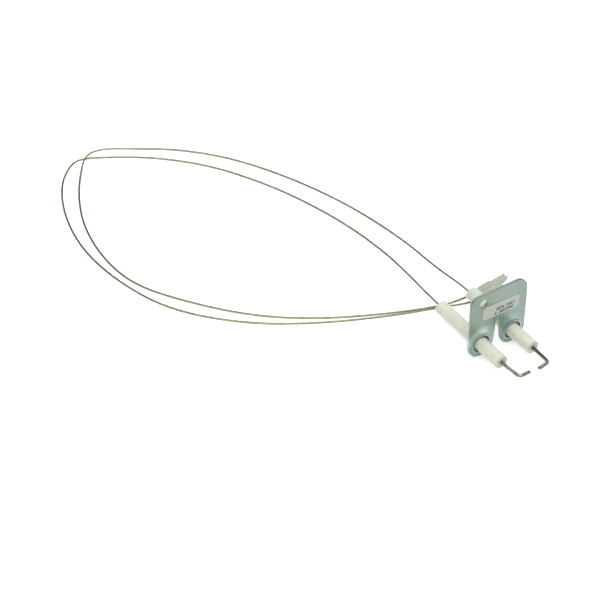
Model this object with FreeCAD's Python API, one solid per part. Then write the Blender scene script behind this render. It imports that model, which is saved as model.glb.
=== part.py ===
import FreeCAD, Part
import math
import os

# Twin ignition electrode: two ceramic tubes held in a slotted bracket, with bent electrode rods in
# front and two thin stranded leads behind. Millimetres, +Z up. The electrode tips point to -Y and
# the leads leave to +Y. The origin is under the middle of the part without its leads, level with
# the bottom of the bracket's lobes, so the part stands on Z = 0 and the leads lie on that surface.

os.makedirs("parts", exist_ok=True)

# ---- driving dimensions ----
AXIS_SPACING = 21.2            # between the two insulators
LOBE_RADIUS = 8.4              # each lobe is a half circle round its insulator
AXIS_HEIGHT = LOBE_RADIUS      # insulator axes above the lobes' bottoms
HALF_REACH = 35.0              # electrode front and insulator rear, either side of the origin

PLATE_FRONT = -2.0             # Y of the bracket's front face
PLATE_THICKNESS = 1.5
PLATE_TOP = 42.9
PLATE_EDGE_ROUND = 0.2         # sheared edges, slightly rounded
CUT_SPARE = 1.0                # how far a hole's cutter stands out of the plate
LEFT_CORNER_RADIUS = 5.0
RIGHT_CORNER_RADIUS = 8.0
SLOT_HALF_WIDTH = 2.4          # at the height of the insulator axes
SLOT_FLARE = 0.085             # the slot's side moves out by this much per mm downwards
SLOT_TOP = 21.0
SLOT_TOP_RADIUS = 1.4
MOUNT_HOLE_RADIUS = 2.75       # clearance for an M5 screw
MOUNT_HOLE_X = -10.7
MOUNT_HOLE_Z = 36.6

INSULATOR_RADIUS = 4.0
INSULATOR_LENGTH = 55.0
INSULATOR_EDGE_ROUND = 0.45
FRONT_BORE_RADIUS = 1.2
REAR_BORE_RADIUS = 1.8
REAR_BORE_START = 9.0          # Y where the wider rear bore begins

FERRULE_BORE_RADIUS = 5.3      # clear of the insulator at the plate
FERRULE_SHANK_RADIUS = 5.6     # fills the hole in the lobe
FERRULE_HEAD_RADIUS = 6.6
FERRULE_BEAD_RADIUS = 6.4      # bead rolled behind the plate
FERRULE_BEAD_ROUND = 0.3       # radius of the bead's own half-round section
FERRULE_WALL = 0.3
FERRULE_NECK = (0.9, 2.5)      # cone down to the insulator, outside, behind the plate's back
FERRULE_NECK_INSIDE = (0.7, 2.2)
FERRULE_TAIL_END = 6.6         # behind the plate's front face
RING_CEMENT_RECESS = 1.0       # behind the plate's front face
RING_CEMENT_CREEP = 0.15       # higher round the insulator

ROD_RADIUS = 1.0
ROD_REAR = 20.0                # Y of the rod's end inside the crimp sleeve
ROD_KINK = -22.5               # Y where each rod is set sideways to trim the spark gap
ROD_KINK_RADIUS = 12.0
ROD_BEND_RADIUS = 2.2
ROD_TIP_LENGTH = 0.8
ROD_TIP_RADIUS = 0.5

SLEEVE_FRONT = 14.0
SLEEVE_REAR = 28.0
SLEEVE_RADIUS = 1.5
CRIMP_DEPTH = 0.25
CRIMP_LENGTH = 2.4

FRONT_CEMENT = (-17.0, -12.0)  # Y span of the plug round the rod
REAR_CEMENT = (28.5, 31.5)

LEAD_RADIUS = 0.6
LEAD_ARC_SHARE = 0.45          # of the shorter run beside each point of a route
END_SLEEVE_RADIUS = 0.85
END_SLEEVE_LENGTH = 7.0

LABEL_WIDTH = 24.7
LABEL_HEIGHT = 8.9
LABEL_THICKNESS = 0.12
LABEL_CORNER = 2.4
LABEL_CENTRE = (1.45, 28.7)    # X and Z
LABEL_TILT = 1.0               # degrees, right end lower

TAPE_THICKNESS = 1.9           # over the two lead ends that it encloses

# Outline of the folded tape, seen from above, with its torn end at the right.
TAPE_OUTLINE = [(13.0, 32.2), (13.4, 42.6), (31.2, 45.0), (31.6, 44.4), (43.2, 45.6),
                (41.6, 43.3), (43.0, 41.9), (40.6, 39.9), (35.0, 38.1), (29.0, 33.9)]

# Routes of the lead centrelines, from inside the crimp sleeve to the bare end in the tape.
RIGHT_ROUTE = [(10.6, 20.5, 8.4), (10.6, 41, 8.4), (10.1, 67, 4.9), (11.2, 97.5, 2.5),
               (8.2, 132, 0.6), (0.4, 164, 0.6), (-12.2, 198.5, 0.6), (-30.6, 234, 0.6),
               (-54, 261, 0.6), (-77, 277, 0.8), (-96, 284, 4.2), (-108.3, 283.4, 4.5),
               (-117.5, 272, 1.2), (-129.3, 251.5, 0.6), (-140, 223, 0.6), (-144.5, 190, 0.6),
               (-141.2, 157.3, 0.6), (-123.3, 126.5, 0.6), (-97, 93.6, 0.6), (-66.8, 70.8, 0.6),
               (-32.2, 53.2, 0.6), (-4, 42.2, 0.6), (14, 40.3, 0.7), (28, 41.5, 0.95)]

LEFT_ROUTE = [(-10.6, 20.5, 8.4), (-10.6, 45, 8.4), (-7.5, 72, 6.1), (-4.3, 99.5, 1.8),
              (-6.8, 131.8, 0.6), (-14.5, 164, 0.6), (-25.3, 195.2, 0.6), (-44.2, 232.2, 0.6),
              (-70.4, 261.5, 0.6), (-97, 279.5, 0.6), (-112, 287.2, 0.6), (-122, 281.3, 0.6),
              (-134, 266.4, 0.6), (-145.4, 238, 0.6), (-151, 203, 0.6), (-147.4, 165.2, 0.6),
              (-134.7, 126, 0.6), (-106.4, 92.7, 0.6), (-73.6, 70.2, 0.6), (-34, 51.5, 0.6),
              (-3.8, 41.1, 0.6), (13, 34.7, 0.7), (26, 35.4, 0.95)]

# ---- sizes that follow from them ----
AXIS_X = {"left": -AXIS_SPACING / 2, "right": AXIS_SPACING / 2}
ROUTES = {"left": LEFT_ROUTE, "right": RIGHT_ROUTE}
PLATE_BACK = PLATE_FRONT + PLATE_THICKNESS
INSULATOR_FRONT = HALF_REACH - INSULATOR_LENGTH

# Bend and tip of each rod's centreline; the tips face each other across the spark gap.
ROD_CORNER = {"left": (-9.6, -33.9, 8.4), "right": (10.5, -33.5, 8.3)}
ROD_TIP = {"left": (-2.2, -33.9, 8.4), "right": (2.9, -34.1, 7.7)}

FreeVector = FreeCAD.Vector


def on_axis(side, y):
    return FreeVector(AXIS_X[side], y, AXIS_HEIGHT)


def polar(centre, radius, degrees):
    angle = math.radians(degrees)
    return (centre[0] + radius * math.cos(angle), centre[1] + radius * math.sin(angle))


def line(start, end):
    return Part.LineSegment(start, end).toShape()


def arc(start, middle, end):
    return Part.Arc(start, middle, end).toShape()


def turned(side, profile):
    """Solid of revolution round one insulator axis; profile is a list of (radius, y)."""
    points = [FreeVector(AXIS_X[side] + radius, y, AXIS_HEIGHT) for radius, y in profile]
    face = Part.Face(Part.makePolygon(points + points[:1]))
    return face.revolve(on_axis(side, 0), FreeVector(0, 1, 0), 360)


def ring(side, inner, outer, front, rear):
    return turned(side, [(inner, front), (outer, front), (outer, rear), (inner, rear)])


def quarter(centre, radius, start, end, steps=5):
    """Profile points on an arc, for rolled and rounded rims."""
    return [polar(centre, radius, start + (end - start) * k / steps) for k in range(steps + 1)]


def bent_path(points, radii):
    """Straight runs joined by tangent arcs; also returns the wire's length."""
    edges = []
    length = 0.0
    start = points[0]
    for before, corner, after, radius in zip(points, points[1:], points[2:], radii):
        back = (before - corner).normalize()
        ahead = (after - corner).normalize()
        turn = math.pi - back.getAngle(ahead)
        reach = radius * math.tan(turn / 2)
        inward = (back + ahead).normalize()
        arc_start = corner + back * reach
        arc_end = corner + ahead * reach
        arc_middle = corner + inward * (radius / math.cos(turn / 2) - radius)
        edges.append(line(start, arc_start))
        edges.append(arc(arc_start, arc_middle, arc_end))
        length += (arc_start - start).Length + radius * turn
        start = arc_end
    edges.append(line(start, points[-1]))
    length += (points[-1] - start).Length
    return Part.Wire(edges), length


def swept_round(path, radius):
    first = path.Edges[0]
    start = first.valueAt(first.FirstParameter)
    direction = first.tangentAt(first.FirstParameter)
    section = Part.Wire([Part.makeCircle(radius, start, direction)])
    return path.makePipeShell([section], True, False)


def largest_radii(points):
    """The largest tangent arc that the two runs beside each point allow."""
    radii = []
    for before, corner, after in zip(points, points[1:], points[2:]):
        turn = math.pi - (before - corner).getAngle(after - corner)
        shorter = min((before - corner).Length, (after - corner).Length)
        radii.append(LEAD_ARC_SHARE * shorter / math.tan(turn / 2))
    return radii


# ---- bracket ----
def slot_half_width(z):
    return SLOT_HALF_WIDTH + SLOT_FLARE * (AXIS_HEIGHT - z)


def plate_point(x, z):
    return FreeVector(x, PLATE_FRONT, z)


def plate_outline():
    """Closed wire round the bracket, clockwise from the slot's top seen from the front."""
    flare = math.degrees(math.atan(SLOT_FLARE))
    slot_centre = (0.0, SLOT_TOP - SLOT_TOP_RADIUS)
    edges = []
    for sign, corner in ((1, RIGHT_CORNER_RADIUS), (-1, LEFT_CORNER_RADIUS)):
        lobe = (AXIS_SPACING / 2, AXIS_HEIGHT)
        half_width = lobe[0] + LOBE_RADIUS
        corner_centre = (half_width - corner, PLATE_TOP - corner)
        slot_side = polar(slot_centre, SLOT_TOP_RADIUS, flare)
        lobe_side = polar(lobe, LOBE_RADIUS, 180 + flare)

        def at(pair):
            return plate_point(sign * pair[0], pair[1])

        edges.append(arc(at(polar(slot_centre, SLOT_TOP_RADIUS, 90)),
                         at(polar(slot_centre, SLOT_TOP_RADIUS, 45 + flare / 2)), at(slot_side)))
        edges.append(line(at(slot_side), at(lobe_side)))
        edges.append(arc(at(lobe_side), at(polar(lobe, LOBE_RADIUS, -90)),
                         at(polar(lobe, LOBE_RADIUS, 0))))
        edges.append(line(at((half_width, AXIS_HEIGHT)), at((half_width, corner_centre[1]))))
        edges.append(arc(at((half_width, corner_centre[1])), at(polar(corner_centre, corner, 45)),
                         at((corner_centre[0], PLATE_TOP))))
    right_end = AXIS_SPACING / 2 + LOBE_RADIUS - RIGHT_CORNER_RADIUS
    left_end = -(AXIS_SPACING / 2 + LOBE_RADIUS - LEFT_CORNER_RADIUS)
    edges.append(line(plate_point(right_end, PLATE_TOP), plate_point(left_end, PLATE_TOP)))
    return Part.Wire(Part.__sortEdges__(edges))


def bracket_plate():
    blank = Part.Face(plate_outline()).extrude(FreeVector(0, PLATE_THICKNESS, 0))
    rims = [edge for edge in blank.Edges if edge.BoundBox.YLength < 1e-6]
    blank = blank.makeFillet(PLATE_EDGE_ROUND, rims)
    holes = [(AXIS_X["left"], AXIS_HEIGHT, FERRULE_SHANK_RADIUS),
             (AXIS_X["right"], AXIS_HEIGHT, FERRULE_SHANK_RADIUS),
             (MOUNT_HOLE_X, MOUNT_HOLE_Z, MOUNT_HOLE_RADIUS)]
    for x, z, radius in holes:
        start = FreeVector(x, PLATE_FRONT - CUT_SPARE, z)
        depth = PLATE_THICKNESS + 2 * CUT_SPARE
        blank = blank.cut(Part.makeCylinder(radius, depth, start, FreeVector(0, 1, 0)))
    return blank


def rating_label():
    label = Part.makeBox(LABEL_WIDTH, LABEL_THICKNESS, LABEL_HEIGHT)
    uprights = [edge for edge in label.Edges if edge.BoundBox.YLength > LABEL_THICKNESS / 2]
    label = label.makeFillet(LABEL_CORNER, uprights)
    corner_x = LABEL_CENTRE[0] - LABEL_WIDTH / 2
    corner_z = LABEL_CENTRE[1] - LABEL_HEIGHT / 2
    label.translate(FreeVector(corner_x, PLATE_FRONT - LABEL_THICKNESS, corner_z))
    centre = FreeVector(LABEL_CENTRE[0], PLATE_FRONT, LABEL_CENTRE[1])
    label.rotate(centre, FreeVector(0, 1, 0), LABEL_TILT)
    return label


# ---- insulator and what holds it ----
def insulator(side):
    edge = INSULATOR_EDGE_ROUND
    outer = INSULATOR_RADIUS
    profile = [(FRONT_BORE_RADIUS, INSULATOR_FRONT)]
    profile += quarter((outer - edge, INSULATOR_FRONT + edge), edge, -90, 0)
    profile += quarter((outer - edge, HALF_REACH - edge), edge, 0, 90)
    profile += [(REAR_BORE_RADIUS, HALF_REACH), (REAR_BORE_RADIUS, REAR_BORE_START),
                (FRONT_BORE_RADIUS, REAR_BORE_START)]
    return turned(side, profile)


def ferrule(side):
    """Eyelet: head in front of the plate, bead behind it, tail crimped onto the insulator."""
    wall = FERRULE_WALL
    bore = FERRULE_BORE_RADIUS
    half = wall / 2
    front = PLATE_FRONT
    back = PLATE_BACK
    bead_round = FERRULE_BEAD_ROUND
    bead = (FERRULE_BEAD_RADIUS - bead_round, back + bead_round)
    neck_start, neck_end = FERRULE_NECK
    inside_start, inside_end = FERRULE_NECK_INSIDE
    tail_end = front + FERRULE_TAIL_END
    profile = quarter((bore + half, front - half), half, 180, 270)
    profile += quarter((FERRULE_HEAD_RADIUS - half, front - half), half, -90, 90, 8)
    profile += [(FERRULE_SHANK_RADIUS, front), (FERRULE_SHANK_RADIUS, back)]
    profile += quarter(bead, bead_round, -90, 90, 8)
    profile += [(FERRULE_SHANK_RADIUS, back + 2 * bead_round),
                (FERRULE_SHANK_RADIUS, back + neck_start)]
    profile += [(INSULATOR_RADIUS + wall, back + neck_end), (INSULATOR_RADIUS + wall, tail_end)]
    profile += [(INSULATOR_RADIUS, tail_end), (INSULATOR_RADIUS, back + inside_end),
                (bore, back + inside_start)]
    return turned(side, profile)


def ring_cement(side):
    """Fills the ferrule's neck round the insulator, a little below the plate's front."""
    front = PLATE_FRONT + RING_CEMENT_RECESS
    inside_start, inside_end = FERRULE_NECK_INSIDE
    return turned(side, [(INSULATOR_RADIUS, front - RING_CEMENT_CREEP), (FERRULE_BORE_RADIUS, front),
                         (FERRULE_BORE_RADIUS, PLATE_BACK + inside_start),
                         (INSULATOR_RADIUS, PLATE_BACK + inside_end)])


def front_cement(side):
    return ring(side, ROD_RADIUS, FRONT_BORE_RADIUS, FRONT_CEMENT[0], FRONT_CEMENT[1])


def rear_cement(side):
    return ring(side, LEAD_RADIUS, REAR_BORE_RADIUS, REAR_CEMENT[0], REAR_CEMENT[1])


# ---- electrode ----
def electrode_rod(side):
    corner = FreeVector(*ROD_CORNER[side])
    tip = FreeVector(*ROD_TIP[side])
    towards_tip = (tip - corner).normalize()
    shoulder = tip - towards_tip * ROD_TIP_LENGTH
    points = [on_axis(side, ROD_REAR), on_axis(side, ROD_KINK), corner, shoulder]
    path, length = bent_path(points, [ROD_KINK_RADIUS, ROD_BEND_RADIUS])
    point = Part.makeCone(ROD_RADIUS, ROD_TIP_RADIUS, ROD_TIP_LENGTH, shoulder, towards_tip)
    return swept_round(path, ROD_RADIUS).fuse(point)


def crimp_sleeve(side):
    """Joins the rod, in its wide half, to the lead, in its narrow half."""
    waist = SLEEVE_RADIUS - CRIMP_DEPTH
    profile = [(ROD_RADIUS, SLEEVE_FRONT), (SLEEVE_RADIUS, SLEEVE_FRONT)]
    for centre in ((SLEEVE_FRONT + ROD_REAR) / 2, (ROD_REAR + SLEEVE_REAR) / 2):
        first = centre - CRIMP_LENGTH / 2
        last = centre + CRIMP_LENGTH / 2
        profile += [(SLEEVE_RADIUS, first - CRIMP_DEPTH), (waist, first), (waist, last),
                    (SLEEVE_RADIUS, last + CRIMP_DEPTH)]
    profile += [(SLEEVE_RADIUS, SLEEVE_REAR), (LEAD_RADIUS, SLEEVE_REAR), (LEAD_RADIUS, ROD_REAR),
                (ROD_RADIUS, ROD_REAR)]
    return turned(side, profile)


# ---- leads ----
def route_points(side):
    return [FreeVector(*point) for point in ROUTES[side]]


def lead(side):
    points = route_points(side)
    radii = largest_radii(points)
    path, length = bent_path(points, radii)
    tube = swept_round(path, LEAD_RADIUS)
    expected = math.pi * LEAD_RADIUS ** 2 * length
    print(side, "lead", round(length, 1), "mm, radii", [round(radius, 1) for radius in radii],
          "volume over section times length", round(tube.Volume / expected, 4))
    return tube


def lead_end(side):
    """End point and outward direction of a lead's last run."""
    points = route_points(side)
    return points[-1], (points[-1] - points[-2]).normalize()


def end_sleeve(side):
    end, outward = lead_end(side)
    start = end - outward * END_SLEEVE_LENGTH
    outer = Part.makeCylinder(END_SLEEVE_RADIUS, END_SLEEVE_LENGTH, start, outward)
    inner = Part.makeCylinder(LEAD_RADIUS, END_SLEEVE_LENGTH, start, outward)
    return outer.cut(inner)


def lead_tape(leads):
    """Two layers of tape closed over the lead ends, as one solid with channels for the leads."""
    points = [FreeVector(x, y, 0) for x, y in TAPE_OUTLINE]
    face = Part.Face(Part.makePolygon(points + points[:1]))
    tape = face.extrude(FreeVector(0, 0, TAPE_THICKNESS))
    for side in ("left", "right"):
        end, outward = lead_end(side)
        start = end - outward * END_SLEEVE_LENGTH
        tape = tape.cut(leads[side])
        tape = tape.cut(Part.makeCylinder(END_SLEEVE_RADIUS, END_SLEEVE_LENGTH, start, outward))
    return tape


def write(name, shape):
    if not shape.isValid() or len(shape.Solids) != 1:
        print("PROBLEM", name, shape.isValid(), len(shape.Solids))
    shape.exportStep("parts/" + name + ".step")


write("bracket_plate", bracket_plate())
write("rating_label", rating_label())
leads = {}
for side in ("left", "right"):
    leads[side] = lead(side)
    write(side + "_insulator", insulator(side))
    write(side + "_ferrule", ferrule(side))
    write(side + "_ring_cement", ring_cement(side))
    write(side + "_electrode_rod", electrode_rod(side))
    write(side + "_front_cement", front_cement(side))
    write(side + "_crimp_sleeve", crimp_sleeve(side))
    write(side + "_rear_cement", rear_cement(side))
    write(side + "_lead", leads[side])
    write(side + "_end_sleeve", end_sleeve(side))
write("lead_tape", lead_tape(leads))
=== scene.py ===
import math
import random

import bpy
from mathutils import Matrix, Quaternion, Vector


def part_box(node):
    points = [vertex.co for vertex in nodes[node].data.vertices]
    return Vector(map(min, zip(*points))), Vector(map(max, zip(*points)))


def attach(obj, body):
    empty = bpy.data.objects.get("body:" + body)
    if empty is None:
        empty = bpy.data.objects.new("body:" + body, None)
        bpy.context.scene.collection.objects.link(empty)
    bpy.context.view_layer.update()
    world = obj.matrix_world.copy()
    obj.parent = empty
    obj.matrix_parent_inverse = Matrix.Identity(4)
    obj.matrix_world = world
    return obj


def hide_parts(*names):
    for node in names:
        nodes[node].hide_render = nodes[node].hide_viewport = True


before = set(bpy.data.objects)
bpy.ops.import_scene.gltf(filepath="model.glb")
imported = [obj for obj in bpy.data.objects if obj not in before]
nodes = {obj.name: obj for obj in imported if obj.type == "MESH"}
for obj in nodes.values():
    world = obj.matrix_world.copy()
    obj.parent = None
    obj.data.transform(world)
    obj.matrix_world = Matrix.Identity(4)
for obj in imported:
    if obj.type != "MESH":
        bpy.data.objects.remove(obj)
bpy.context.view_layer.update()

# Metres, in the CAD model's own frame: +Z up, electrode tips towards -Y, leads leaving to +Y.
MM = 0.001

# ---- camera ----
CAMERA_PLACE = Vector((-0.42258, -0.49298, 0.58541))
CAMERA_AIM = Vector((-0.0677, 0.0918, 0.0))
CAMERA_ROLL = math.radians(1.65)
CAMERA_LENS = 94.8             # mm, on a 36 mm sensor

# Each softbox: its place, what it points at, its width and height, and its watts.
SOFTBOXES = {
    "overhead_softbox": ((-0.12, -0.15, 1.1), (-0.05, 0.08, 0.0), (1.5, 1.3), 14.5),
    "camera_softbox": ((-0.62, -0.95, 0.55), (-0.05, 0.1, 0.0), (1.4, 0.45), 3.0),
    "back_softbox": ((0.66, 1.12, 0.98), (-0.03, 0.05, 0.0), (0.8, 0.4), 2.0),
    "side_softbox": ((0.85, 0.1, 0.75), (0.0, 0.05, 0.0), (0.5, 0.5), 1.6),
}

FLOOR_GLOW = 0.34              # the floor is a softly lit table, so shadows on it stay faint
FLOOR_HALF_WIDTH = 3.0
FLOOR_DROP = 0.02 * MM         # clear of what lies on it

# ---- finishes ----
# Painted reflections: paler zinc colour above each ferrule. Also the tint of each wire where it is
# seen edge on.
PAINTED_REFLECTION_ZINC = {"left": (0.46, 0.61, 0.585), "right": (0.3, 0.41, 0.39)}
METAL_EDGE_TINT = {"rod": (0.08, 0.075, 0.06, 1.0), "wire": (0.14, 0.13, 0.08, 1.0)}
PLATE_ROUNDING = 0.2 * MM      # the plate's own rounded rims

# ---- leads ----
WIRE_RADIUS = 0.6 * MM
WIRE_LAY = 10.5 * MM           # one full turn of the outer strands
WIRE_STEPS = 36                # points on the line for each span of a route
STRAND_SIDES = 7
OUTER_STRANDS = 6

# Routes of the lead centrelines, from the crimp sleeves to the ends in the tape.
RIGHT_ROUTE = [(0.0106, 0.0205, 0.0084), (0.0106, 0.041, 0.0084), (0.0101, 0.067, 0.0049),
               (0.0112, 0.0975, 0.0025), (0.0082, 0.132, 0.0006), (0.0004, 0.164, 0.0006),
               (-0.0122, 0.1985, 0.0006), (-0.0306, 0.234, 0.0006), (-0.054, 0.261, 0.0006),
               (-0.077, 0.277, 0.0008), (-0.096, 0.284, 0.0042), (-0.1083, 0.2834, 0.0045),
               (-0.1175, 0.272, 0.0012), (-0.1293, 0.2515, 0.0006), (-0.14, 0.223, 0.0006),
               (-0.1445, 0.19, 0.0006), (-0.1412, 0.1573, 0.0006), (-0.1233, 0.1265, 0.0006),
               (-0.097, 0.0936, 0.0006), (-0.0668, 0.0708, 0.0006), (-0.0322, 0.0532, 0.0006),
               (-0.004, 0.0422, 0.0006), (0.014, 0.0403, 0.0007), (0.028, 0.0415, 0.00095)]
LEFT_ROUTE = [(-0.0106, 0.0205, 0.0084), (-0.0106, 0.045, 0.0084), (-0.0075, 0.072, 0.0061),
              (-0.0043, 0.0995, 0.0018), (-0.0068, 0.1318, 0.0006), (-0.0145, 0.164, 0.0006),
              (-0.0253, 0.1952, 0.0006), (-0.0442, 0.2322, 0.0006), (-0.0704, 0.2615, 0.0006),
              (-0.097, 0.2795, 0.0006), (-0.112, 0.2872, 0.0006), (-0.122, 0.2813, 0.0006),
              (-0.134, 0.2664, 0.0006), (-0.1454, 0.238, 0.0006), (-0.151, 0.203, 0.0006),
              (-0.1474, 0.1652, 0.0006), (-0.1347, 0.126, 0.0006), (-0.1064, 0.0927, 0.0006),
              (-0.0736, 0.0702, 0.0006), (-0.034, 0.0515, 0.0006), (-0.0038, 0.0411, 0.0006),
              (0.013, 0.0347, 0.0007), (0.026, 0.0354, 0.00095)]
ROUTES = {"left": LEFT_ROUTE, "right": RIGHT_ROUTE}

# ---- tape: two layers, in millimetres ----
TAPE_START = 13.2
TAPE_NEAR_EDGE = (32.35, 0.105)    # Y at the start and its rise per mm along X
UPPER_FAR_EDGE = (42.45, 0.138)
LOWER_FAR_EDGE = (42.1, 0.116)
TAPE_SHEET = 0.12                  # thickness of the paper with its glue
TAPE_REST = 0.03                   # under side of the lower layer
TAPE_TOP = 2.0                     # over the end sleeves
TAPE_CREASE = 0.04                 # height of the small creases in the upper layer
CREASE_WAVES = (2.1, 0.8, 0.9)     # slanted along X and Y, and straight along Y
UPPER_FLAT = 0.32                  # the upper layer where nothing lifts it
UPPER_EDGE_LIFT = 0.75             # its far edge stands up by this much
RIDGE_WIDTHS = (1.5, 2.6)          # of the ridge over a lead, on its near and far side
RIDGE_FADE = (0.5, 5.0, 0.75)      # starts before a lead's end, ends after it, share that goes
FOLD = (38.9, 1.7, 0.85)           # the lower layer's fold: its Y, width and height
FOLD_SPAN = (29.0, 33.0, 37.0, 43.0)   # where it rises and where it falls, along X
CURL_HEIGHT = 0.85                 # at the lower layer's torn end
CURL_SPAN = (34.0, 42.0)
EDGE_SPAN = (0.6, 1.0)             # share of the width where the far edges lift
LOWER_TEAR = 0.25                  # how far each torn end wavers
UPPER_TEAR = 0.2
TEAR_WAVES = (61.0, 23.0)          # the torn ends' small and large waves
TAPE_COLUMNS = 90
TAPE_ROWS = 64
# Where each layer ends along X, against the fraction of its width from the near edge.
LOWER_END = [(0, 29.2), (0.354, 35.2), (0.47, 40.5), (0.64, 42.7), (0.79, 41.4), (1, 42.9)]
UPPER_END = [(0, 28.6), (0.2, 30.3), (0.4, 31.2), (0.6, 32.2), (0.8, 31.4), (1, 31.3)]

# ---- printed marks on the label, in millimetres ----
# Each row: its height, and where each mark starts along X.
PRINT_ROWS = [(29.0, [-1.7, -0.35, 1.0, 2.35, 5.1, 6.5, 7.9, 9.3]),
              (26.3, [-2.7, 0.3, 1.65, 3.0, 4.35, 5.7, 7.05, 8.4])]
PRINT_CELLS = (4, 6)               # dots across and up in one mark
PRINT_PITCH = 0.3
PRINT_DOT_RADIUS = 0.19
PRINT_DOT_HEIGHT = 0.015
PRINT_SLANT = 0.12
PRINT_DOT_SIDES = 6
PRINT_SEED = 11
PRINT_FILL = 0.72                  # share of the dots that are printed

# ---- places read from the frame ----
INSULATOR_BOX = {side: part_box(side + "_insulator") for side in ROUTES}
AXIS = {side: (low + high) / 2 for side, (low, high) in INSULATOR_BOX.items()}
MOUTH_Y = INSULATOR_BOX["left"][1].y
TUBE_FRONT_Y = INSULATOR_BOX["left"][0].y
PLATE_LOW, PLATE_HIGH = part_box("bracket_plate")
LABEL_FRONT_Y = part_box("rating_label")[0].y
FERRULE_LOW, FERRULE_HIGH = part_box("left_ferrule")
FERRULE_RADIUS = (FERRULE_HIGH.x - FERRULE_LOW.x) / 2


# ---- camera, floor and light ----
def add_camera():
    camera = bpy.data.objects.new("camera", bpy.data.cameras.new("camera"))
    camera.data.sensor_width = 36.0
    camera.data.lens = CAMERA_LENS
    camera.data.clip_start = 0.01
    camera.location = CAMERA_PLACE
    ahead = (CAMERA_AIM - CAMERA_PLACE).normalized()
    turned = Quaternion(ahead, CAMERA_ROLL) @ ahead.to_track_quat("-Z", "Y")
    camera.rotation_euler = turned.to_euler()
    bpy.context.scene.collection.objects.link(camera)
    bpy.context.scene.camera = camera


def add_softbox(name, place, aim, size, power):
    light = bpy.data.lights.new(name, "AREA")
    light.shape = "RECTANGLE"
    light.size, light.size_y = size
    light.energy = power
    softbox = bpy.data.objects.new(name, light)
    softbox.location = place
    softbox.rotation_euler = (Vector(aim) - Vector(place)).to_track_quat("-Z", "Y").to_euler()
    bpy.context.scene.collection.objects.link(softbox)


def add_world():
    """A studio tent: dim near the horizon, bright overhead."""
    world = bpy.data.worlds.new("studio")
    world.use_nodes = True
    tree = world.node_tree
    place = tree.nodes.new("ShaderNodeTexCoord")
    split = tree.nodes.new("ShaderNodeSeparateXYZ")
    ramp = tree.nodes.new("ShaderNodeValToRGB")
    tree.links.new(place.outputs["Generated"], split.inputs["Vector"])
    tree.links.new(split.outputs["Z"], ramp.inputs["Fac"])
    tree.links.new(ramp.outputs["Color"], tree.nodes["Background"].inputs["Color"])
    tree.nodes["Background"].inputs["Strength"].default_value = 1.0
    fill_ramp(ramp, [(0.0, (0.05, 0.05, 0.047)), (0.62, (0.08, 0.082, 0.082)),
                     (0.88, (0.5, 0.51, 0.52)), (1.0, (0.7, 0.7, 0.7))])
    bpy.context.scene.world = world


def add_studio():
    add_world()
    for name, (place, aim, size, power) in SOFTBOXES.items():
        add_softbox(name, place, aim, size, power)
    bpy.context.scene.view_settings.view_transform = "Standard"


def add_floor(material):
    mesh = bpy.data.meshes.new("floor")
    half = FLOOR_HALF_WIDTH
    drop = -FLOOR_DROP
    corners = [(-half, -half, drop), (half, -half, drop), (half, half, drop), (-half, half, drop)]
    mesh.from_pydata(corners, [], [(0, 1, 2, 3)])
    mesh.materials.append(material)
    floor = bpy.data.objects.new("floor", mesh)
    bpy.context.scene.collection.objects.link(floor)


# ---- material helpers ----
def fill_ramp(ramp, stops):
    """Set a colour ramp's stops from a list of (position, colour)."""
    elements = ramp.color_ramp.elements
    while len(elements) < len(stops):
        elements.new(0.5)
    for element, (position, colour) in zip(elements, stops):
        element.position = position
        element.color = (*colour, 1.0)


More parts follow.
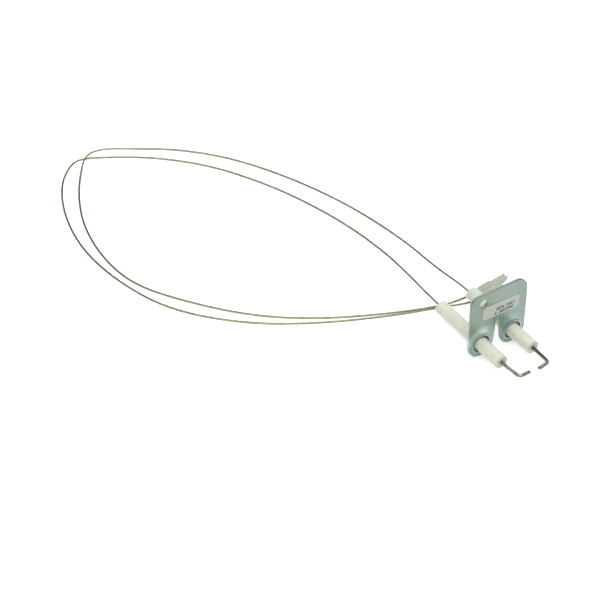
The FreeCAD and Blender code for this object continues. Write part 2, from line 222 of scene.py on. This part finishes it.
class Finish:
    """One Principled material, and short ways to build its node tree."""

    def __init__(self, name, metallic=0.0):
        self.material = bpy.data.materials.new(name)
        self.material.use_nodes = True
        self.tree = self.material.node_tree
        self.shader = self.tree.nodes["Principled BSDF"]
        self.shader.inputs["Metallic"].default_value = metallic
        self.place = self.add("ShaderNodeTexCoord").outputs["Object"]

    def add(self, kind, links=None, **values):
        node = self.tree.nodes.new(kind)
        for name, value in values.items():
            node.inputs[name.replace("_", " ")].default_value = value
        for name, output in (links or {}).items():
            self.tree.links.new(output, node.inputs[name])
        return node

    def stretched(self, scale):
        """The place scaled along X, Y and Z, so that a texture is drawn out along an axis."""
        return self.add("ShaderNodeMapping", {"Vector": self.place}, Scale=scale).outputs["Vector"]

    def noise(self, scale, detail=3.0, place=None, distortion=0.0):
        node = self.add("ShaderNodeTexNoise", {"Vector": place or self.place},
                        Scale=scale, Detail=detail, Distortion=distortion)
        return node.outputs["Fac"]

    def maths(self, operation, first, second):
        """First and second combined by a maths operation; second may be a number."""
        node = self.tree.nodes.new("ShaderNodeMath")
        node.operation = operation
        node.use_clamp = operation in ("ADD", "SUBTRACT")
        for socket, value in zip(node.inputs, (first, second)):
            if isinstance(value, (int, float)):
                socket.default_value = value
            else:
                self.tree.links.new(value, socket)
        return node.outputs[0]

    def between(self, value, low, high, start=0.0, end=1.0):
        """Value mapped smoothly from low..high to start..end."""
        node = self.tree.nodes.new("ShaderNodeMapRange")
        node.interpolation_type = "SMOOTHSTEP"
        self.tree.links.new(value, node.inputs["Value"])
        for name, number in (("From Min", low), ("From Max", high), ("To Min", start),
                             ("To Max", end)):
            node.inputs[name].default_value = number
        return node.outputs["Result"]

    def ramp(self, value, stops):
        node = self.add("ShaderNodeValToRGB", {"Fac": value})
        fill_ramp(node, stops)
        return node.outputs["Color"]

    def blend(self, factor, first, second, kind="MIX"):
        """Second over first by factor; a colour may be a plain triple."""
        node = self.tree.nodes.new("ShaderNodeMix")
        node.data_type = "RGBA"
        node.blend_type = kind
        colours = [socket for socket in node.inputs if socket.type == "RGBA"]
        if isinstance(factor, float):
            node.inputs["Factor"].default_value = factor
        else:
            self.tree.links.new(factor, node.inputs["Factor"])
        for socket, value in zip(colours, (first, second)):
            if isinstance(value, tuple):
                socket.default_value = (*value, 1.0)
            else:
                self.tree.links.new(value, socket)
        return [socket for socket in node.outputs if socket.type == "RGBA"][0]

    def distance(self, x, z):
        """Distance from the line along Y through x and z."""
        flat = self.add("ShaderNodeVectorMath", {0: self.place})
        flat.operation = "MULTIPLY"
        flat.inputs[1].default_value = (1.0, 0.0, 1.0)
        gap = self.add("ShaderNodeVectorMath", {0: flat.outputs["Vector"]})
        gap.operation = "DISTANCE"
        gap.inputs[1].default_value = (x, 0.0, z)
        return gap.outputs["Value"]

    def along(self, axis):
        """The place's X, Y or Z."""
        return self.add("ShaderNodeSeparateXYZ", {"Vector": self.place}).outputs[axis]

    def colour(self, output):
        self.tree.links.new(output, self.shader.inputs["Base Color"])

    def roughness(self, output):
        self.tree.links.new(output, self.shader.inputs["Roughness"])

    def bump(self, height, depth):
        """Height from 0 to 1 becomes a relief of the depth, in metres."""
        node = self.add("ShaderNodeBump", {"Height": height}, Strength=1.0, Distance=depth)
        self.tree.links.new(node.outputs["Normal"], self.shader.inputs["Normal"])


# ---- materials ----
def floor_paper():
    finish = Finish("floor_paper")
    grain = finish.noise(900.0)
    finish.colour(finish.ramp(grain, [(0.3, (0.95, 0.95, 0.945)), (0.7, (0.97, 0.97, 0.965))]))
    finish.roughness(finish.between(grain, 0.3, 0.7, 0.85, 0.95))
    finish.shader.inputs["Specular IOR Level"].default_value = 0.1
    finish.shader.inputs["Emission Color"].default_value = (1.0, 1.0, 1.0, 1.0)
    finish.shader.inputs["Emission Strength"].default_value = FLOOR_GLOW
    return finish.material


def zinc(name, cool, warm, dull):
    """Passivated zinc: cloudy bluish sheen over the fine lines of the rolled sheet."""
    finish = Finish(name, metallic=1.0)
    clouds = finish.noise(85.0, 3.0, distortion=0.6)
    blotches = finish.noise(520.0, 4.0)
    rolled = finish.noise(2600.0, 3.0, finish.stretched((1.0, 1.0, 0.06)))
    shade = finish.ramp(clouds, [(0.32, cool), (0.5, dull), (0.68, warm)])
    shade = finish.blend(finish.between(blotches, 0.42, 0.72, 0.0, 0.08), shade, dull, "MULTIPLY")
    shade = finish.blend(finish.between(rolled, 0.35, 0.7, 0.0, 0.06), shade, (0.6, 0.66, 0.64))
    return finish, shade, clouds, rolled


def zinc_plate():
    """The bracket's zinc, with painted reflections above the ferrules, painted shade to the right,
    at the bottom and on the front rounding, and a rougher sheared edge painted paler as a
    highlight.
    """
    finish, shade, clouds, rolled = zinc("zinc_plate", (0.23, 0.3, 0.275), (0.245, 0.3, 0.255),
                                         (0.235, 0.295, 0.26))
    height = finish.along("Z")
    above_axis = finish.between(height, AXIS["left"].z - 3 * MM, AXIS["left"].z + 4 * MM)
    for side in ROUTES:
        gap = finish.distance(AXIS[side].x, AXIS[side].z)
        painted_reflection = finish.between(gap, FERRULE_RADIUS * 1.35, FERRULE_RADIUS * 2.0, 0.9, 0.0)
        painted_reflection = finish.maths("MULTIPLY", painted_reflection, above_axis)
        # Painted reflection: a paler zone of zinc colour above each ferrule and mostly to its
        # left.
        to_left = finish.between(finish.along("X"), AXIS[side].x, AXIS[side].x + 7 * MM, 1.0, 0.1)
        painted_reflection = finish.maths("MULTIPLY", painted_reflection, to_left)
        shade = finish.blend(painted_reflection, shade, PAINTED_REFLECTION_ZINC[side])
    # Painted shade: the zinc colour is a little darker towards the right.
    painted_right_shade = finish.between(finish.along("X"), 4 * MM, PLATE_HIGH.x - 2 * MM, 0.0, 0.2)
    shade = finish.blend(painted_right_shade, shade, (0.17, 0.215, 0.19))
    # Painted shade: the zinc colour is darker towards the bottom of the plate.
    painted_low_shade = finish.between(height, PLATE_LOW.z, PLATE_LOW.z + 3 * MM, 0.3, 0.0)
    shade = finish.blend(painted_low_shade, shade, (0.2, 0.23, 0.2))
    # The sheared edge between the two rolled faces is rougher, and its colour is painted paler as
    # a highlight.
    depth = finish.along("Y")
    behind_front = finish.between(depth, PLATE_LOW.y + PLATE_ROUNDING,
                                  PLATE_LOW.y + 2 * PLATE_ROUNDING)
    sheared_edge_and_highlight = finish.maths("MULTIPLY", behind_front, finish.between(
        depth, PLATE_HIGH.y - 0.3 * MM, PLATE_HIGH.y - 0.1 * MM, 0.28, 0.0))
    shade = finish.blend(sheared_edge_and_highlight, shade, (0.75, 0.85, 0.82))
    # Painted shade: a thin dark line on the front rounding, inside the pale edge.
    off_face = finish.between(depth, PLATE_LOW.y + 0.01 * MM, PLATE_LOW.y + 0.06 * MM)
    painted_rim_shade = finish.maths("MULTIPLY", off_face, finish.between(
        depth, PLATE_LOW.y + 0.16 * MM, PLATE_LOW.y + 0.24 * MM, 0.8, 0.0))
    shade = finish.blend(painted_rim_shade, shade, (0.04, 0.05, 0.045))
    finish.colour(shade)
    satin = finish.between(clouds, 0.3, 0.7, 0.33, 0.42)
    finish.roughness(finish.maths("ADD", satin, sheared_edge_and_highlight))
    finish.bump(rolled, 0.006 * MM)
    return finish.material


def zinc_ferrule():
    finish, shade, clouds, rolled = zinc("zinc_ferrule", (0.33, 0.42, 0.395), (0.35, 0.41, 0.37),
                                         (0.34, 0.41, 0.38))
    finish.colour(shade)
    finish.roughness(finish.between(clouds, 0.3, 0.7, 0.42, 0.52))
    finish.bump(rolled, 0.01 * MM)
    return finish.material


def insulator_ceramic():
    """Unglazed off-white ceramic: faint smudges, fine pores, a few grey rub marks."""
    finish = Finish("insulator_ceramic")
    smudge = finish.noise(260.0, 5.0)
    pores = finish.noise(5200.0, 2.0)
    rubs = finish.noise(900.0, 6.0, finish.stretched((1.0, 0.35, 1.0)), distortion=1.2)
    shade = finish.ramp(smudge, [(0.3, (0.6, 0.625, 0.52)), (0.55, (0.64, 0.665, 0.56)),
                                 (0.75, (0.66, 0.685, 0.59))])
    shade = finish.blend(finish.between(rubs, 0.66, 0.76, 0.0, 0.42), shade, (0.4, 0.41, 0.36))
    shade = finish.blend(finish.between(pores, 0.3, 0.42, 0.25, 0.0), shade, (0.55, 0.55, 0.46))
    # Painted shade: the tube's front end, over its first 0.6 mm, is darker.
    front = finish.between(finish.along("Y"), TUBE_FRONT_Y, TUBE_FRONT_Y + 0.6 * MM, 1.0, 0.0)
    shade = finish.blend(finish.maths("MULTIPLY", front, 0.35), shade, (0.36, 0.375, 0.33))
    for side in ROUTES:
        gap = finish.distance(AXIS[side].x, AXIS[side].z)
        # Darker grey-brown around the bore mouth on the front face.
        mouth_darkening = finish.maths("MULTIPLY", front, finish.between(gap, 1.1 * MM, 2.6 * MM, 0.6, 0.0))
        shade = finish.blend(mouth_darkening, shade, (0.3, 0.29, 0.24))
        # A darker ring just inside the rim of the front face.
        rim_ring_darkening = finish.maths("MULTIPLY", front, finish.between(gap, 3.2 * MM, 3.6 * MM, 0.22, 0.0))
        shade = finish.blend(rim_ring_darkening, shade, (0.36, 0.37, 0.33))
    # The rear mouth is a little dirty from the leads.
    mouth = finish.between(finish.along("Y"), MOUTH_Y - 0.5 * MM, MOUTH_Y - 0.1 * MM, 0.0, 0.5)
    shade = finish.blend(mouth, shade, (0.38, 0.395, 0.34))
    finish.colour(shade)
    finish.roughness(finish.between(smudge, 0.3, 0.7, 0.5, 0.66))
    finish.bump(pores, 0.02 * MM)
    finish.shader.inputs["Specular IOR Level"].default_value = 0.4
    return finish.material


def cement(name, dark, light, scale):
    finish = Finish(name)
    grain = finish.noise(scale, 6.0)
    lumps = finish.noise(scale * 0.3, 3.0)
    shade = finish.ramp(grain, [(0.3, dark), (0.7, light)])
    finish.colour(finish.blend(finish.between(lumps, 0.4, 0.7, 0.0, 0.4), shade, dark))
    finish.roughness(finish.between(grain, 0.3, 0.7, 0.75, 0.95))
    finish.bump(grain, 0.12 * MM)
    return finish.material


def electrode_alloy():
    """Drawn heat-resistant wire: dark warm steel with streaks along its length."""
    finish = Finish("electrode_alloy", metallic=1.0)
    finish.shader.inputs["Specular Tint"].default_value = METAL_EDGE_TINT["rod"]
    streaks = finish.noise(1500.0, 3.0, finish.stretched((1.0, 0.04, 1.0)))
    stains = finish.noise(420.0, 4.0)
    shade = finish.ramp(streaks, [(0.34, (0.1, 0.095, 0.07)), (0.5, (0.27, 0.255, 0.19)),
                                  (0.64, (0.6, 0.58, 0.47))])
    shade = finish.blend(finish.between(stains, 0.5, 0.75, 0.0, 0.35), shade, (0.13, 0.115, 0.06))
    finish.colour(shade)
    finish.roughness(finish.between(stains, 0.3, 0.7, 0.2, 0.32))
    finish.bump(streaks, 0.02 * MM)
    return finish.material


def stranded_wire():
    """Bare twisted strands, dull khaki where they have oxidised."""
    finish = Finish("stranded_wire", metallic=1.0)
    finish.shader.inputs["Specular Tint"].default_value = METAL_EDGE_TINT["wire"]
    drawn = finish.noise(3000.0, 3.0)
    tarnish = finish.noise(130.0, 3.0)
    shade = finish.ramp(drawn, [(0.3, (0.3, 0.285, 0.185)), (0.7, (0.5, 0.48, 0.34))])
    shade = finish.blend(finish.between(tarnish, 0.4, 0.7, 0.0, 0.4), shade, (0.22, 0.21, 0.13))
    finish.colour(shade)
    finish.roughness(finish.between(drawn, 0.3, 0.7, 0.24, 0.38))
    finish.bump(drawn, 0.006 * MM)
    return finish.material


def sleeve_metal(name, dark, light):
    finish = Finish(name, metallic=1.0)
    stain = finish.noise(800.0, 4.0)
    marks = finish.noise(2400.0, 2.0, finish.stretched((0.15, 1.0, 1.0)))
    shade = finish.ramp(stain, [(0.3, dark), (0.7, light)])
    finish.colour(finish.blend(finish.between(marks, 0.5, 0.7, 0.0, 0.3), shade, dark))
    finish.roughness(finish.between(stain, 0.3, 0.7, 0.25, 0.42))
    finish.bump(marks, 0.01 * MM)
    return finish.material


def label_film():
    finish = Finish("label_film")
    fibres = finish.noise(1500.0, 5.0)
    clouds = finish.noise(150.0, 2.0)
    shade = finish.ramp(fibres, [(0.3, (0.4, 0.425, 0.35)), (0.7, (0.445, 0.465, 0.39))])
    finish.colour(finish.blend(finish.between(clouds, 0.4, 0.7, 0.0, 0.3), shade,
                               (0.46, 0.465, 0.405)))
    finish.roughness(finish.between(fibres, 0.3, 0.7, 0.42, 0.6))
    finish.bump(fibres, 0.008 * MM)
    return finish.material


def print_ink():
    finish = Finish("print_ink")
    wear = finish.noise(2500.0, 3.0)
    finish.colour(finish.ramp(wear, [(0.3, (0.008, 0.045, 0.15)), (0.75, (0.02, 0.09, 0.22))]))
    finish.roughness(finish.between(wear, 0.3, 0.7, 0.5, 0.7))
    return finish.material


def paper_tape():
    """Creped paper: fine ridges across the strip, cloudy, with paler fibres."""
    finish = Finish("paper_tape")
    crepe = finish.noise(1300.0, 4.0, finish.stretched((1.0, 0.14, 1.0)), distortion=0.5)
    fibres = finish.noise(2600.0, 4.0)
    clouds = finish.noise(140.0, 3.0)
    shade = finish.ramp(crepe, [(0.3, (0.37, 0.39, 0.305)), (0.7, (0.41, 0.425, 0.34))])
    shade = finish.blend(finish.between(clouds, 0.4, 0.7, 0.0, 0.5), shade, (0.42, 0.43, 0.36))
    shade = finish.blend(finish.between(fibres, 0.6, 0.8, 0.0, 0.3), shade, (0.5, 0.5, 0.42))
    finish.colour(shade)
    finish.roughness(finish.between(crepe, 0.3, 0.7, 0.7, 0.88))
    finish.bump(crepe, 0.08 * MM)
    return finish.material


# ---- mesh helpers ----
def add_mesh(name, points, faces, material, smooth=True):
    mesh = bpy.data.meshes.new(name)
    mesh.from_pydata(points, [], faces)
    mesh.validate()
    mesh.materials.append(material)
    mesh.polygons.foreach_set("use_smooth", [smooth] * len(mesh.polygons))
    piece = bpy.data.objects.new(name, mesh)
    bpy.context.scene.collection.objects.link(piece)
    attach(piece, "root")
    return piece


def stepped(stops, value):
    """Straight-line value between (place, value) stops."""
    for (low, first), (high, second) in zip(stops, stops[1:]):
        if value <= high:
            return first + (second - first) * (value - low) / (high - low)
    return stops[-1][1]


def eased(value, low, high):
    share = min(max((value - low) / (high - low), 0.0), 1.0)
    return share * share * (3 - 2 * share)


# ---- leads ----
def route_line(route):
    """Points on the smooth line that has the route's points as its control points."""
    curve = bpy.data.curves.new("route", "CURVE")
    curve.dimensions = "3D"
    curve.resolution_u = WIRE_STEPS
    spline = curve.splines.new("NURBS")
    spline.points.add(len(route) - 1)
    for point, place in zip(spline.points, route):
        point.co = (*place, 1.0)
    spline.order_u = 3
    spline.use_endpoint_u = True
    guide = bpy.data.objects.new("route", curve)
    traced = bpy.data.meshes.new_from_object(guide)
    line = [vertex.co.copy() for vertex in traced.vertices]
    bpy.data.objects.remove(guide)
    bpy.data.meshes.remove(traced)
    return line


def carried_frames(line):
    """For each point: the distance along the line and two normals that don't twist round it."""
    frames = []
    travelled = 0.0
    ahead = (line[1] - line[0]).normalized()
    normal = ahead.orthogonal().normalized()
    for index, place in enumerate(line):
        after = line[min(index + 1, len(line) - 1)]
        before = line[max(index - 1, 0)]
        direction = (after - before).normalized()
        normal = (normal - direction * normal.dot(direction)).normalized()
        if index:
            travelled += (place - before).length
        frames.append((place, travelled, normal, direction.cross(normal)))
    return frames


def strand(frames, offset, radius, phase):
    """Points and faces of one closed round strand that winds about the line."""
    points = []
    faces = []
    for index, (place, travelled, first, second) in enumerate(frames):
        angle = phase + math.tau * travelled / WIRE_LAY
        centre = place + (first * math.cos(angle) + second * math.sin(angle)) * offset
        for side in range(STRAND_SIDES):
            around = angle + math.tau * side / STRAND_SIDES
            points.append(centre + (first * math.cos(around) + second * math.sin(around)) * radius)
        if index:
            near = index * STRAND_SIDES
            far = near - STRAND_SIDES
            for side in range(STRAND_SIDES):
                beside = (side + 1) % STRAND_SIDES
                faces.append((far + side, far + beside, near + beside, near + side))
    faces.append(tuple(reversed(range(STRAND_SIDES))))
    faces.append(tuple(range(len(points) - STRAND_SIDES, len(points))))
    return points, faces


def lead_wire(side, material):
    """A straight core strand with six others laid round it, as one mesh."""
    line = route_line(ROUTES[side])
    frames = carried_frames(line)
    strand_radius = WIRE_RADIUS / 3
    laid = [(0.0, 0.0)]
    laid += [(2 * strand_radius, math.tau * k / OUTER_STRANDS) for k in range(OUTER_STRANDS)]
    points = []
    faces = []
    for offset, phase in laid:
        own_points, own_faces = strand(frames, offset, strand_radius, phase)
        start = len(points)
        points += own_points
        faces += [tuple(start + corner for corner in face) for face in own_faces]
    wire = add_mesh(side + "_lead_wire", points, faces, material)
    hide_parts(side + "_lead")
    return wire, line


# ---- tape ----
def lead_ridge(x, y):
    """How far the tape is lifted over the two leads, from 0 to 1; x and y in millimetres."""
    lifted = 0.0
    for side in ROUTES:
        (start_x, start_y, _), (end_x, end_y, _) = ROUTES[side][-2:]
        slope = (end_y - start_y) / (end_x - start_x)
        centre = start_y / MM + slope * (x - start_x / MM)
        away = y - centre
        width = RIDGE_WIDTHS[1] if away > 0 else RIDGE_WIDTHS[0]
        before, after, gone = RIDGE_FADE
        fade = 1 - gone * eased(x, end_x / MM - before, end_x / MM + after)
        lifted = max(lifted, fade * math.exp(-(away / width) ** 2))
    return lifted


def upper_height(x, y, share):
    """Lies on the lower layer, over the leads, with its far edge standing up a little."""
    slanted = math.sin(CREASE_WAVES[0] * x + CREASE_WAVES[1] * y)
    crease = TAPE_CREASE * slanted * math.sin(CREASE_WAVES[2] * y)
    lift = UPPER_EDGE_LIFT * eased(share, *EDGE_SPAN)
    ridge = (TAPE_TOP - UPPER_FLAT - TAPE_SHEET / 2) * lead_ridge(x, y)
    return UPPER_FLAT + max(ridge, lift) + crease


def lower_height(x, y, share):
    """Flat under the leads; past their ends it keeps the fold and curls at the torn end."""
    fold_y, fold_width, fold_height = FOLD
    rising, risen, falling, fallen = FOLD_SPAN
    fold = fold_height * math.exp(-((y - fold_y) / fold_width) ** 2)
    fold *= eased(x, rising, risen) * (1 - eased(x, falling, fallen))
    curl = CURL_HEIGHT * max(eased(share, *EDGE_SPAN), eased(x, *CURL_SPAN))
    return TAPE_REST + TAPE_SHEET + max(fold, curl)


def tape_layer(name, far_edge, end_stops, height, torn, material):
    """One paper sheet: a grid from the straight start to the torn end, closed all round."""
    points = []
    for column in range(TAPE_COLUMNS + 1):
        for row in range(TAPE_ROWS + 1):
            share = row / TAPE_ROWS
            tear = math.sin(TEAR_WAVES[0] * share) * math.sin(TEAR_WAVES[1] * share + 1)
            end = stepped(end_stops, share) + torn * tear
            x = TAPE_START + (end - TAPE_START) * column / TAPE_COLUMNS
            run = x - TAPE_START
            near = TAPE_NEAR_EDGE[0] + TAPE_NEAR_EDGE[1] * run
            far = far_edge[0] + far_edge[1] * run
            y = near + (far - near) * share
            points.append(Vector((x, y, height(x, y, share))) * MM)
    top = len(points)
    points += [point - Vector((0, 0, TAPE_SHEET * MM)) for point in points]
    rows = TAPE_ROWS + 1
    faces = []
    for column in range(TAPE_COLUMNS):
        for row in range(TAPE_ROWS):
            corner = column * rows + row
            square = (corner, corner + rows, corner + rows + 1, corner + 1)
            faces.append(square)
            faces.append(tuple(top + index for index in reversed(square)))
    rim = list(range(rows))
    rim += [column * rows + TAPE_ROWS for column in range(1, TAPE_COLUMNS + 1)]
    rim += [TAPE_COLUMNS * rows + row for row in range(TAPE_ROWS - 1, -1, -1)]
    rim += [column * rows for column in range(TAPE_COLUMNS - 1, 0, -1)]
    for here, there in zip(rim, rim[1:] + rim[:1]):
        faces.append((here, there, top + there, top + here))
    return add_mesh(name, points, faces, material)


# ---- printed marks ----
def label_print(material):
    """Rows of small raised ink dots on the label, in random patterns that spell nothing."""
    dice = random.Random(PRINT_SEED)
    sides = PRINT_DOT_SIDES
    front = LABEL_FRONT_Y - PRINT_DOT_HEIGHT * MM
    points = []
    faces = []
    for height, marks in PRINT_ROWS:
        for mark in marks:
            for across in range(PRINT_CELLS[0]):
                for up in range(PRINT_CELLS[1]):
                    if dice.random() > PRINT_FILL:
                        continue
                    x = mark + PRINT_PITCH * (across + PRINT_SLANT * up)
                    z = height + PRINT_PITCH * (up - PRINT_CELLS[1] / 2)
                    start = len(points)
                    for y in (front, LABEL_FRONT_Y):
                        for side in range(sides):
                            angle = math.tau * side / sides
                            points.append(((x + PRINT_DOT_RADIUS * math.cos(angle)) * MM, y,
                                           (z + PRINT_DOT_RADIUS * math.sin(angle)) * MM))
                    faces.append(tuple(start + side for side in range(sides)))
                    faces.append(tuple(start + sides + side for side in reversed(range(sides))))
                    for side in range(sides):
                        beside = (side + 1) % sides
                        faces.append((start + side, start + sides + side,
                                      start + sides + beside, start + beside))
    return add_mesh("label_print", points, faces, material, smooth=False)


# ---- the scene ----
add_camera()
add_studio()
add_floor(floor_paper())

tape = paper_tape()
tape_layers = [
    tape_layer("tape_lower_layer", LOWER_FAR_EDGE, LOWER_END, lower_height, LOWER_TEAR, tape),
    tape_layer("tape_upper_layer", UPPER_FAR_EDGE, UPPER_END, upper_height, UPPER_TEAR, tape)]
for layer in tape_layers:
    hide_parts("lead_tape")

wire_metal = stranded_wire()
for side in ROUTES:
    wire, line = lead_wire(side, wire_metal)

label_print(print_ink())

ceramic = insulator_ceramic()
ferrule_metal = zinc_ferrule()
ring_filler = cement("ring_cement", (0.1, 0.09, 0.05), (0.3, 0.27, 0.17), 2600.0)
bore_filler = cement("bore_cement", (0.2, 0.2, 0.18), (0.4, 0.4, 0.36), 3500.0)
rod_metal = electrode_alloy()
crimp_metal = sleeve_metal("crimp_sleeve", (0.3, 0.27, 0.22), (0.5, 0.46, 0.38))
tinned_metal = sleeve_metal("tinned_sleeve", (0.5, 0.5, 0.48), (0.7, 0.7, 0.68))
finishes = {"bracket_plate": zinc_plate(), "rating_label": label_film(), "lead_tape": tape}
for side in ROUTES:
    finishes[side + "_insulator"] = ceramic
    finishes[side + "_ferrule"] = ferrule_metal
    finishes[side + "_ring_cement"] = ring_filler
    finishes[side + "_front_cement"] = bore_filler
    finishes[side + "_rear_cement"] = bore_filler
    finishes[side + "_electrode_rod"] = rod_metal
    finishes[side + "_crimp_sleeve"] = crimp_metal
    finishes[side + "_end_sleeve"] = tinned_metal
    finishes[side + "_lead"] = wire_metal
for name, node in nodes.items():
    node.data.materials.clear()
    node.data.materials.append(finishes[name])
